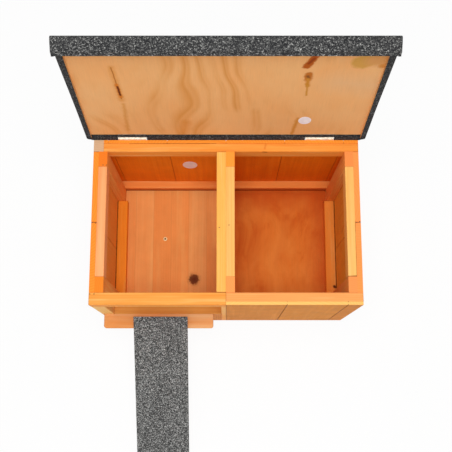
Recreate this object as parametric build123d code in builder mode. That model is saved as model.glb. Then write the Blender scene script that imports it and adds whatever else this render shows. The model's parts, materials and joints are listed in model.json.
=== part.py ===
from build123d import *
import math
import os

# Duck nest box: a framed timber box with two rooms, a doorway with a landing and a ramp,
# and a felted lid on two butt hinges, modelled with the lid thrown open.
# Millimetres and degrees. X runs to the right, Y to the back, Z up. The origin is on the
# ground, under the middle of the box.

# Box
box_width = 800
box_depth = 500
box_height = 490

# Timber stock
frame_thick = 26
rail_height = 52
side_post_width = 47
end_post_width = 30
end_board_thick = 10
side_board_thick = 16
arris = 1.2
floor_thick = 15
sole_rail_thick = 36

# Boards in the walls
board_width = 178
side_board_width = 219
joint_width = 1.6
joint_depth = 2.4

# Doorway, in the left half of the front
left_jamb_width = 39
right_jamb_width = 15
sill_top = 222
sill_height = 27

# Landing step in front of the sill
landing_depth = 45
landing_thick = 15
landing_corner = 7
landing_left_margin = 7
landing_right_margin = 41
landing_cleat_side = 27
landing_cleat_inset = 14

# Ramp
ramp_width = 168
ramp_offset = 8
ramp_slope = 25.7
ramp_thick = 15
ramp_wall_gap = 12
ramp_seat = 20
ramp_wedge_inset = 12
ramp_felt_hem = 3
ramp_felt_lift = 1.5

# Partition between the rooms
side_bar_width = 28
side_bar_height = 28
side_bar_gap = 1
inner_door_front = 10
inner_door_top = 300

# Lid
lid_open_angle = 97.75
panel_thick = 10
side_lip_height = 8
side_lip_width = 12
side_lip_clearance = 5
front_lip_height = 25
front_lip_width = 16
front_lip_clearance = 5
front_lip_ear = 6.5
front_lip_round = 6
lid_corner = 7
felt_thick = 2
felt_hem = 20
lid_rim_gap = 5.1

# Hinges
hinge_length = 85
hinge_margin = 74.5
leaf_thick = 1.7
leaf_drop = 30
flap_reach = 20
flap_seat_gap = 0.5
knuckle_radius = 4.5
knuckle_count = 5
knuckle_gap = 0.4
knuckle_wall_gap = 0.5
barrel_gap = 1
pin_radius = 2
pin_clearance = 0.3

# One overrun serves all cuts
overrun = 5

os.makedirs("parts", exist_ok=True)

# Planes of the walls, worked out from the box
half_width = box_width / 2
half_depth = box_depth / 2
back_frame = half_depth - end_board_thick
back_inside = back_frame - frame_thick
front_frame = -back_frame
front_inside = -back_inside
side_frame = half_width - side_board_thick
side_inside = side_frame - frame_thick
side_post_inside = back_inside - side_post_width
end_post_inside = half_width - end_post_width
rail_bottom = box_height - rail_height

# The barrel stands just clear of the back wall, and both leaves and the lid stop short of it.
# The flap leaves the barrel at its top and is let into the lid's panel, so that the felt's hem
# under the panel covers it and clears the rim.
hinge_axis_behind = knuckle_radius + knuckle_wall_gap
leaf_notch = knuckle_radius + barrel_gap
panel_under = leaf_thick - knuckle_radius
hinge_axis_rise = lid_rim_gap + panel_under + felt_thick


def save(piece, name):
    piece.part.label = name
    export_step(piece.part, f"parts/{name}.step")


def timber(name, x_span, y_span, z_span, grain):
    # A planed length of timber with its long corners eased
    with BuildPart() as piece:
        with BuildSketch(Plane.XY.offset(z_span[0])):
            with Locations((sum(x_span) / 2, sum(y_span) / 2)):
                Rectangle(x_span[1] - x_span[0], y_span[1] - y_span[0])
        extrude(amount=z_span[1] - z_span[0])
        chamfer(piece.edges().filter_by(grain), arris)
    save(piece, name)


def boarding(name, face, length, height, thick, first_joint, board):
    # Upright boards edge to edge: a panel with a shadow gap at each joint, on both faces.
    # The plane lies on the inner face, its x along the wall from one end, its y upwards.
    joints = []
    joint = first_joint
    while joint < length - joint_width:
        joints.append(joint)
        joint += board
    with BuildPart() as piece:
        with BuildSketch(face):
            Rectangle(length, height, align=(Align.MIN, Align.MIN))
        extrude(amount=thick)
        if joints:
            for side in (face, face.offset(thick - joint_depth)):
                with BuildSketch(side):
                    with Locations([(joint, 0) for joint in joints]):
                        Rectangle(joint_width, height, align=(Align.CENTER, Align.MIN))
                extrude(amount=joint_depth, mode=Mode.SUBTRACT)
    save(piece, name)


# Floor: two panels that meet under the partition's frame and carry the frames of the sides
floor_split = frame_thick / 2
for name, x_span in (
    ("floor_left", (-side_frame, floor_split)),
    ("floor_right", (floor_split, side_frame)),
):
    with BuildPart() as floor_panel:
        with BuildSketch():
            with Locations((sum(x_span) / 2, 0)):
                Rectangle(x_span[1] - x_span[0], back_inside - front_inside)
        extrude(amount=floor_thick)
    save(floor_panel, name)

# Side walls: posts at both ends, rails between them, boards outside
room_span = (floor_thick, box_height)
for side, sign in (("left", -1), ("right", 1)):
    frame_span = sorted((sign * side_inside, sign * side_frame))
    sole_span = sorted((sign * (side_frame - sole_rail_thick), sign * side_frame))
    rail_span = (-side_post_inside, side_post_inside)
    timber(f"{side}_front_post", frame_span, (front_inside, -side_post_inside), room_span, Axis.Z)
    timber(f"{side}_back_post", frame_span, (side_post_inside, back_inside), room_span, Axis.Z)
    timber(f"{side}_top_rail", frame_span, rail_span, (rail_bottom, box_height), Axis.Y)
    timber(f"{side}_bottom_rail", sole_span, rail_span, (floor_thick, rail_height), Axis.Y)
    wall_face = Plane(
        origin=(sign * side_frame, sign * front_inside, 0), x_dir=(0, sign, 0), z_dir=(sign, 0, 0)
    )
    wall_length = back_inside - front_inside
    front_board = wall_length - side_board_width
    first_board = side_board_width if sign < 0 else front_board
    boarding(
        f"{side}_wall",
        wall_face,
        wall_length,
        box_height,
        side_board_thick,
        first_board,
        side_board_width,
    )

# Back wall: the left post runs to the rim through the whole wall, the top rail over the right one
back_span = (back_inside, back_frame)
corner_span = (back_inside, half_depth)
timber("back_left_post", (-half_width, -end_post_inside), corner_span, (0, box_height), Axis.Z)
timber("back_right_post", (end_post_inside, half_width), back_span, (0, rail_bottom), Axis.Z)
timber("back_top_rail", (-end_post_inside, half_width), back_span, (rail_bottom, box_height), Axis.X)
timber("back_bottom_rail", (-end_post_inside, end_post_inside), back_span, (0, rail_height), Axis.X)
back_face = Plane(origin=(half_width, back_frame, 0), x_dir=(-1, 0, 0), z_dir=(0, 1, 0))
back_length = half_width + end_post_inside
back_joint = half_width % board_width
boarding("back_wall", back_face, back_length, box_height, end_board_thick, back_joint, board_width)

# Front right wall: a closed frame with boards outside
front_span = (front_frame, front_inside)
timber("front_middle_post", (0, end_post_width), front_span, (0, rail_bottom), Axis.Z)
timber("front_right_post", (end_post_inside, half_width), front_span, (0, rail_bottom), Axis.Z)
timber("front_right_top_rail", (0, half_width), front_span, (rail_bottom, box_height), Axis.X)
timber("front_right_bottom_rail", (end_post_width, end_post_inside), front_span, (0, rail_height), Axis.X)
front_face = Plane(origin=(0, front_frame, 0), x_dir=(1, 0, 0), z_dir=(0, -1, 0))
boarding(
    "front_right_wall",
    front_face,
    half_width,
    box_height,
    end_board_thick,
    board_width,
    board_width,
)

# Front left wall: header, jambs and sill round the doorway, boards below the sill
full_span = (-half_depth, front_inside)
door_left = left_jamb_width - half_width
door_right = -right_jamb_width
sill_bottom = sill_top - sill_height
timber("door_header", (-half_width, 0), full_span, (rail_bottom, box_height), Axis.X)
timber("door_left_jamb", (-half_width, door_left), full_span, (0, rail_bottom), Axis.Z)
timber("door_right_jamb", (door_right, 0), full_span, (0, rail_bottom), Axis.Z)
timber("door_sill", (door_left, door_right), full_span, (sill_bottom, sill_top), Axis.X)
timber("front_left_bottom_rail", (door_left, door_right), front_span, (0, rail_height), Axis.X)
lower_face = Plane(origin=(door_left, front_frame, 0), x_dir=(1, 0, 0), z_dir=(0, -1, 0))
lower_length = door_right - door_left
boarding(
    "front_left_wall",
    lower_face,
    lower_length,
    sill_bottom,
    end_board_thick,
    board_width,
    board_width,
)

# Landing step, with a cleat under it
landing_left = landing_left_margin - half_width
landing_right = -landing_right_margin
landing_front = -half_depth - landing_depth
landing_under = sill_top - landing_thick
with BuildPart() as landing:
    with BuildSketch(Plane.XY.offset(landing_under)):
        with Locations((landing_left, landing_front)):
            Rectangle(landing_right - landing_left, landing_depth, align=(Align.MIN, Align.MIN))
    extrude(amount=landing_thick)
    fillet(landing.edges().filter_by(Axis.Z).group_by(Axis.Y)[0], landing_corner)
    chamfer(landing.faces().sort_by(Axis.Z)[-1].edges().sort_by(Axis.Y)[0], arris)
save(landing, "landing_step")
timber(
    "landing_cleat",
    (landing_left + landing_cleat_inset, landing_right - landing_cleat_inset),
    (-half_depth - landing_cleat_side, -half_depth),
    (landing_under - landing_cleat_side, landing_under),
    Axis.X,
)

# Ramp: a board that leans on the landing's front edge and stands on the ground
ramp_tilt = math.radians(ramp_slope)
ramp_top_y = -half_depth - ramp_wall_gap
ramp_foot_y = landing_front - sill_top / math.tan(ramp_tilt)
ramp_nose_y = ramp_foot_y - ramp_seat
ramp_left = (landing_left + landing_right - ramp_width) / 2 + ramp_offset
ramp_left_plane = Plane(origin=(ramp_left, 0, 0), x_dir=(0, 1, 0), z_dir=(1, 0, 0))


def ramp_height(y, lift):
    # Height of a line parallel to the ramp, lifted square to its underside
    return (y - ramp_foot_y) * math.tan(ramp_tilt) + lift / math.cos(ramp_tilt)


with BuildPart() as ramp_board:
    with BuildSketch(ramp_left_plane):
        with BuildLine():
            Polyline(
                (ramp_top_y, ramp_height(ramp_top_y, 0)),
                (ramp_foot_y, 0),
                (ramp_nose_y, 0),
                (ramp_nose_y, ramp_height(ramp_nose_y, ramp_thick)),
                (ramp_top_y, ramp_height(ramp_top_y, ramp_thick)),
                close=True,
            )
        make_face()
    extrude(amount=ramp_width)
save(ramp_board, "ramp_board")

# Roofing felt over the ramp, turned down its sides
felt_top = ramp_thick + felt_thick
with BuildPart() as ramp_felt:
    with BuildSketch(ramp_left_plane.offset(-felt_thick)):
        with BuildLine():
            hem_foot_y = ramp_foot_y + (
                (ramp_felt_lift - ramp_felt_hem / math.cos(ramp_tilt)) / math.tan(ramp_tilt)
            )
            Polyline(
                (ramp_top_y, ramp_height(ramp_top_y, ramp_felt_hem)),
                (hem_foot_y, ramp_felt_lift),
                (ramp_nose_y, ramp_felt_lift),
                (ramp_nose_y, ramp_height(ramp_nose_y, felt_top)),
                (ramp_top_y, ramp_height(ramp_top_y, felt_top)),
                close=True,
            )
        make_face()
    extrude(amount=ramp_width + 2 * felt_thick)
    with BuildSketch(ramp_left_plane):
        with BuildLine():
            past_top_y = ramp_top_y + overrun
            past_nose_y = ramp_nose_y - overrun
            Polyline(
                (past_top_y, ramp_height(past_top_y, -overrun)),
                (past_nose_y, ramp_height(past_nose_y, -overrun)),
                (past_nose_y, ramp_height(past_nose_y, ramp_thick)),
                (past_top_y, ramp_height(past_top_y, ramp_thick)),
                close=True,
            )
        make_face()
    extrude(amount=ramp_width, mode=Mode.SUBTRACT)
save(ramp_felt, "ramp_felt")

# Wedge that seats the ramp's head flat on the landing
with BuildPart() as ramp_wedge:
    with BuildSketch(ramp_left_plane.offset(ramp_wedge_inset)):
        with BuildLine():
            Polyline(
                (landing_front, sill_top),
                (ramp_top_y, sill_top),
                (ramp_top_y, ramp_height(ramp_top_y, 0)),
                close=True,
            )
        make_face()
    extrude(amount=ramp_width - 2 * ramp_wedge_inset)
save(ramp_wedge, "ramp_wedge")

# Partition: a frame like those of the sides, a loose bar along its left edge, boards below it
partition_span = (0, frame_thick)
bar_bottom = box_height - side_bar_height
sole_span = (floor_thick, floor_thick + rail_height)
timber("partition_front_post", partition_span, (front_inside, -side_post_inside), room_span, Axis.Z)
timber("partition_back_post", partition_span, (side_post_inside, back_inside), room_span, Axis.Z)
timber("partition_top_rail", partition_span, rail_span, (rail_bottom, box_height), Axis.Y)
timber("partition_bottom_rail", partition_span, rail_span, sole_span, Axis.Y)
timber(
    "partition_side_bar",
    (-side_bar_width, 0),
    (front_inside + side_bar_gap, back_inside - side_bar_gap),
    (bar_bottom, box_height),
    Axis.Y,
)
partition_face = Plane(origin=(0, inner_door_front, floor_thick), x_dir=(0, -1, 0), z_dir=(-1, 0, 0))
boarding(
    "partition_wall",
    partition_face,
    inner_door_front - front_inside,
    bar_bottom - floor_thick,
    end_board_thick,
    board_width,
    board_width,
)
lintel_face = Plane(origin=(0, back_inside, inner_door_top), x_dir=(0, -1, 0), z_dir=(-1, 0, 0))
boarding(
    "partition_lintel",
    lintel_face,
    back_inside - inner_door_front,
    bar_bottom - inner_door_top,
    end_board_thick,
    board_width,
    board_width,
)

# Lid, in a plane on the hinge axis: x along the axis, y from the hinges to the free edge,
# z towards the underside, so that heights above the axis are negative
lid_lean = math.radians(lid_open_angle)
axis_y = half_depth + hinge_axis_behind
axis_z = box_height + hinge_axis_rise
lid_plane = Plane(
    origin=(0, axis_y, axis_z),
    x_dir=(1, 0, 0),
    z_dir=(0, -math.sin(lid_lean), -math.cos(lid_lean)),
)
panel_top = panel_under - panel_thick
flap_top = panel_under - leaf_thick
lid_back = leaf_notch
panel_back = lid_back + felt_thick
panel_front = box_depth + hinge_axis_behind + front_lip_clearance
side_lip_inside = half_width + side_lip_clearance
panel_side = side_lip_inside + side_lip_width
felt_side = panel_side + felt_thick
side_lip_under = panel_under + side_lip_height
front_lip_under = panel_under + front_lip_height
hinge_lefts = {"left": hinge_margin - half_width, "right": half_width - hinge_margin - hinge_length}


def lid_outline(half_span, back, front, corner):
    # A rectangle from the hinge edge to the front batten, its two hinge corners rounded
    with Locations((0, back)):
        Rectangle(2 * half_span, front - back, align=(Align.CENTER, Align.MIN))
    fillet(vertices().group_by(Axis.Y)[0], corner)


def front_lip(cover, back):
    # The front batten under a cover of that thickness, with the edges of its free face rounded
    with BuildPart() as lip:
        with BuildSketch(lid_plane.offset(panel_top - cover)):
            with Locations((0, back)):
                lip_span = 2 * (panel_side + front_lip_ear + cover)
                lip_reach = panel_front + front_lip_width + cover - back
                Rectangle(lip_span, lip_reach, align=(Align.CENTER, Align.MIN))
        extrude(amount=front_lip_under - panel_top + 2 * cover)
        free_face = lip.faces().sort_by(Axis(lid_plane.origin, lid_plane.y_dir))[-1]
        fillet(free_face.edges(), front_lip_round + cover)
    return lip


# Shallow seats for the hinge flaps, in the panel's underside and through the felt behind it
with BuildSketch(lid_plane.offset(flap_top)) as flap_seats:
    with Locations([(left - flap_seat_gap, lid_back - overrun) for left in hinge_lefts.values()]):
        seat_length = hinge_length + 2 * flap_seat_gap
        seat_reach = flap_reach + flap_seat_gap - lid_back + overrun
        Rectangle(seat_length, seat_reach, align=(Align.MIN, Align.MIN))

with BuildPart() as lid_panel:
    with BuildSketch(lid_plane.offset(panel_top)):
        lid_outline(panel_side, panel_back, panel_front, lid_corner)
    extrude(amount=panel_thick)
    extrude(flap_seats.sketch, amount=leaf_thick, mode=Mode.SUBTRACT)
save(lid_panel, "lid_panel")

front_batten = front_lip(0, panel_front)
save(front_batten, "lid_front_batten")

for side, sign in (("left", -1), ("right", 1)):
    with BuildPart() as side_batten:
        with BuildSketch(lid_plane.offset(panel_under)):
            with Locations((sign * (side_lip_inside + panel_side) / 2, panel_back)):
                lip_length = panel_front - panel_back
                Rectangle(side_lip_width, lip_length, align=(Align.CENTER, Align.MIN))
            outer_corner = vertices().group_by(Axis.Y)[0].sort_by(Axis.X)[-1 if sign > 0 else 0]
            fillet(outer_corner, lid_corner)
        extrude(amount=side_lip_height)
    save(side_batten, f"lid_{side}_batten")

# Roofing felt over the lid, down its edges, turned under the battens and the hinge edge
felt_roll = front_lip(felt_thick, panel_front - felt_thick)
with BuildPart() as lid_felt:
    with BuildSketch(lid_plane.offset(panel_top - felt_thick)):
        lid_outline(felt_side, lid_back, panel_front, lid_corner + felt_thick)
    extrude(amount=side_lip_under - panel_top + 2 * felt_thick)
    add(felt_roll.part)
    with BuildSketch(lid_plane.offset(panel_top)):
        lid_outline(panel_side, panel_back, panel_front, lid_corner)
    extrude(amount=side_lip_under - panel_top, mode=Mode.SUBTRACT)
    with BuildSketch(lid_plane.offset(panel_under)):
        with Locations((0, lid_back - overrun)):
            gap_length = panel_front - lid_back + overrun
            Rectangle(2 * side_lip_inside, gap_length, align=(Align.CENTER, Align.MIN))
    extrude(amount=front_lip_height + felt_thick + overrun, mode=Mode.SUBTRACT)
    with BuildSketch(lid_plane.offset(side_lip_under + felt_thick)):
        with Locations((0, panel_front - felt_thick - overrun)):
            Rectangle(2 * felt_side, felt_thick + overrun, align=(Align.CENTER, Align.MIN))
    extrude(amount=front_lip_height, mode=Mode.SUBTRACT)
    add(front_batten.part, mode=Mode.SUBTRACT)
    with BuildSketch(lid_plane.offset(panel_under)):
        with Locations((0, lid_back)):
            Rectangle(2 * side_lip_inside, felt_hem, align=(Align.CENTER, Align.MIN))
    extrude(amount=felt_thick)
    extrude(flap_seats.sketch, amount=leaf_thick, mode=Mode.SUBTRACT)
save(lid_felt, "lid_felt")

# Butt hinges: knuckles of the plate and the flap take turns along one pin
knuckle_pitch = hinge_length / knuckle_count
knuckle_length = knuckle_pitch - knuckle_gap
plate_knuckles = [i * knuckle_pitch for i in range(0, knuckle_count, 2)]
flap_knuckles = [i * knuckle_pitch for i in range(1, knuckle_count, 2)]

for side, hinge_left in hinge_lefts.items():
    plate_plane = Plane(origin=(hinge_left, half_depth, axis_z), x_dir=(1, 0, 0), z_dir=(0, 1, 0))
    barrel_plane = Plane(origin=(hinge_left, axis_y, axis_z), x_dir=(0, 1, 0), z_dir=(1, 0, 0))
    flap_plane = Plane(
        origin=lid_plane.from_local_coords((hinge_left, 0, flap_top)),
        x_dir=lid_plane.x_dir,
        z_dir=lid_plane.z_dir,
    )

    # Plate on the back wall, with the pin fast in its knuckles
    with BuildPart() as hinge_plate:
        with BuildSketch(plate_plane):
            with Locations((0, leaf_notch)):
                Rectangle(hinge_length, leaf_drop - leaf_notch, align=(Align.MIN, Align.MIN))
            with Locations([(start, 0) for start in plate_knuckles]):
                Rectangle(knuckle_length, leaf_notch, align=(Align.MIN, Align.MIN))
        extrude(amount=leaf_thick)
        for start in plate_knuckles:
            with BuildSketch(barrel_plane.offset(start)):
                Circle(knuckle_radius)
            extrude(amount=knuckle_length)
        with BuildSketch(barrel_plane):
            Circle(pin_radius)
        extrude(amount=hinge_length - knuckle_gap)
    save(hinge_plate, f"{side}_hinge_plate")

    # Flap let into the lid's panel, its knuckles bored for the pin
    with BuildPart() as hinge_flap:
        with BuildSketch(flap_plane):
            with Locations((0, leaf_notch)):
                Rectangle(hinge_length, flap_reach - leaf_notch, align=(Align.MIN, Align.MIN))
            with Locations([(start, 0) for start in flap_knuckles]):
                Rectangle(knuckle_length, leaf_notch, align=(Align.MIN, Align.MIN))
        extrude(amount=leaf_thick)
        for start in flap_knuckles:
            with BuildSketch(barrel_plane.offset(start)):
                Circle(knuckle_radius)
            extrude(amount=knuckle_length)
        with BuildSketch(barrel_plane):
            Circle(pin_radius + pin_clearance)
        extrude(amount=hinge_length, mode=Mode.SUBTRACT)
    save(hinge_flap, f"{side}_hinge_flap")
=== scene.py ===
import json
import math
import random

import bmesh
import bpy
from mathutils import Matrix, Vector
from mathutils import noise as smoothNoise


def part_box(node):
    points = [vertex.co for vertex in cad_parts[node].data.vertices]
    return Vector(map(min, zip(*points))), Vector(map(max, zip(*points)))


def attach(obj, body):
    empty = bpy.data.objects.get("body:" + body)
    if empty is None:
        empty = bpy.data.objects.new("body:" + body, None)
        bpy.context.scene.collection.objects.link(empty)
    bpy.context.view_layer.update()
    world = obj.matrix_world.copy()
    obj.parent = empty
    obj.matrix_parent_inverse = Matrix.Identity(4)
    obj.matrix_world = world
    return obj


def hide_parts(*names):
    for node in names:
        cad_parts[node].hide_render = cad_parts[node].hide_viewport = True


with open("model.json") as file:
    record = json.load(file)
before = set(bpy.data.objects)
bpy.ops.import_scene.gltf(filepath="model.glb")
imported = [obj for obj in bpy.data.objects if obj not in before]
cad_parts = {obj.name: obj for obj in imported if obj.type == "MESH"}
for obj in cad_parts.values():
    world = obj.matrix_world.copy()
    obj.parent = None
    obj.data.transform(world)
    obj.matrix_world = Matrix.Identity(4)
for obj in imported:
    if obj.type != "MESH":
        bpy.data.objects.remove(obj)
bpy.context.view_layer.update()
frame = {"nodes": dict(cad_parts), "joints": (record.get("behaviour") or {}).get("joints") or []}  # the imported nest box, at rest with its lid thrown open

nodes = frame["nodes"]
scene = bpy.context.scene
mm = 0.001
print("frame loaded:", len(nodes), "solids")


# small helpers for shader trees

def linear(rgb):  # 0-255 screen colour to the shader's linear values
    out = []
    for c in rgb:
        s = c / 255
        out.append(s / 12.92 if s < 0.04 else ((s + 0.055) / 1.055) ** 2.4)
    return (*out, 1.0)


def newMaterial(name):
    material = bpy.data.materials.new(name)
    material.use_nodes = True
    tree = material.node_tree
    tree.nodes.clear()
    output = tree.nodes.new("ShaderNodeOutputMaterial")
    shader = tree.nodes.new("ShaderNodeBsdfPrincipled")
    tree.links.new(shader.outputs["BSDF"], output.inputs["Surface"])
    return material, tree, shader


def feed(tree, socket, value):  # a link if it is a socket, else a plain setting
    if isinstance(value, bpy.types.NodeSocket):
        tree.links.new(value, socket)
    else:
        socket.default_value = value


def calc(tree, operation, a, b=0.0, clamp=False):
    node = tree.nodes.new("ShaderNodeMath")
    node.operation = operation
    node.use_clamp = clamp
    feed(tree, node.inputs[0], a)
    feed(tree, node.inputs[1], b)
    return node.outputs[0]


def vec(tree, operation, a, b=(0, 0, 0)):
    node = tree.nodes.new("ShaderNodeVectorMath")
    node.operation = operation
    feed(tree, node.inputs[0], a)
    feed(tree, node.inputs["Scale"] if operation == "SCALE" else node.inputs[1], b)
    return node.outputs["Value" if operation in ("LENGTH", "DOT_PRODUCT", "DISTANCE") else "Vector"]


def noise(tree, vector, scale, detail=3.0, roughness=0.55, twist=0.0, output="Fac"):
    node = tree.nodes.new("ShaderNodeTexNoise")
    feed(tree, node.inputs["Vector"], vector)
    node.inputs["Scale"].default_value = scale
    node.inputs["Detail"].default_value = detail
    node.inputs["Roughness"].default_value = roughness
    node.inputs["Distortion"].default_value = twist
    return node.outputs[output]


def cells(tree, vector, scale, output="Color"):
    node = tree.nodes.new("ShaderNodeTexVoronoi")
    feed(tree, node.inputs["Vector"], vector)
    node.inputs["Scale"].default_value = scale
    return node.outputs[output]


def ramp(tree, factor, stops):  # stops are (place, value or colour)
    node = tree.nodes.new("ShaderNodeValToRGB")
    marks = node.color_ramp.elements
    while len(marks) < len(stops):
        marks.new(0.5)
    for mark, (place, value) in zip(marks, stops):
        mark.position = place
        mark.color = value if hasattr(value, "__len__") else (value, value, value, 1.0)
    feed(tree, node.inputs["Fac"], factor)
    return node.outputs["Color"]


def blend(tree, factor, a, b, mode="MIX"):
    node = tree.nodes.new("ShaderNodeMix")
    node.data_type = "RGBA"
    node.blend_type = mode
    feed(tree, node.inputs[0], factor)
    feed(tree, node.inputs[6], a)
    feed(tree, node.inputs[7], b)
    return node.outputs[2]


def tint(tree, factor, strength, colour, rgb):  # a screen colour laid over another by a share
    return blend(tree, calc(tree, "MULTIPLY", factor, strength, clamp=True), colour, linear(rgb))


def objectSpace(tree):
    node = tree.nodes.new("ShaderNodeTexCoord")
    return node.outputs["Object"], node.outputs["Normal"]


def nearPoint(tree, point, place, size):  # 1 at the place, 0 from that size away
    away = vec(tree, "DISTANCE", point, place)
    return calc(tree, "SUBTRACT", 1.0, calc(tree, "DIVIDE", away, size), clamp=True)


def nearLine(tree, point, start, end, size):  # 1 on the line between two places, 0 from that size away
    run = Vector(end) - Vector(start)
    offset = vec(tree, "SUBTRACT", point, start)
    share = calc(tree, "DIVIDE", vec(tree, "DOT_PRODUCT", offset, run), run.length_squared, clamp=True)
    away = vec(tree, "DISTANCE", offset, vec(tree, "SCALE", run, share))
    return calc(tree, "SUBTRACT", 1.0, calc(tree, "DIVIDE", away, size), clamp=True)


def addBump(tree, shader, height, depth, strength=1.0):
    node = tree.nodes.new("ShaderNodeBump")
    node.inputs["Strength"].default_value = strength
    node.inputs["Distance"].default_value = depth
    feed(tree, node.inputs["Height"], height)
    tree.links.new(node.outputs["Normal"], shader.inputs["Normal"])


def dress(name, material):  # one finish all over a solid
    mesh = nodes[name].data
    mesh.materials.clear()
    mesh.materials.append(material)


def newPiece(name, bm, material, body, smooth=True):  # a modelled piece that rides on a body
    bmesh.ops.recalc_face_normals(bm, faces=bm.faces)
    mesh = bpy.data.meshes.new(name)
    bm.to_mesh(mesh)
    bm.free()
    mesh.materials.append(material)
    if smooth:
        mesh.shade_smooth()
    piece = bpy.data.objects.new(name, mesh)
    scene.collection.objects.link(piece)
    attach(piece, body)
    return piece


# wood: rings about a pith line that lies off the timber, fibres along the grain, knots

grainTurn = {"X": (0, -math.pi / 2, 0), "Y": (math.pi / 2, 0, 0), "Z": (0, 0, 0)}
grainLine = {"X": (1, 0, 0), "Y": (0, 1, 0), "Z": (0, 0, 1)}


def grainSpace(tree, point, axis, pith):
    turn = tree.nodes.new("ShaderNodeMapping")
    turn.inputs["Rotation"].default_value = grainTurn[axis]
    tree.links.new(vec(tree, "SUBTRACT", point, pith), turn.inputs["Vector"])
    return turn.outputs["Vector"]


def knotField(tree, point, knots):  # 1 in the heart of a knot, 0 well away from it
    field = None
    for x, y, z, size in knots:
        drift = vec(tree, "SUBTRACT", noise(tree, point, 70.0, 3.0, 0.6, output="Color"), (0.5, 0.5, 0.5))
        ragged = vec(tree, "ADD", point, vec(tree, "SCALE", drift, 0.7 * size))
        near = nearPoint(tree, ragged, (x, y, z), size)
        field = near if field is None else calc(tree, "MAXIMUM", field, near)
    return field


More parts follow.
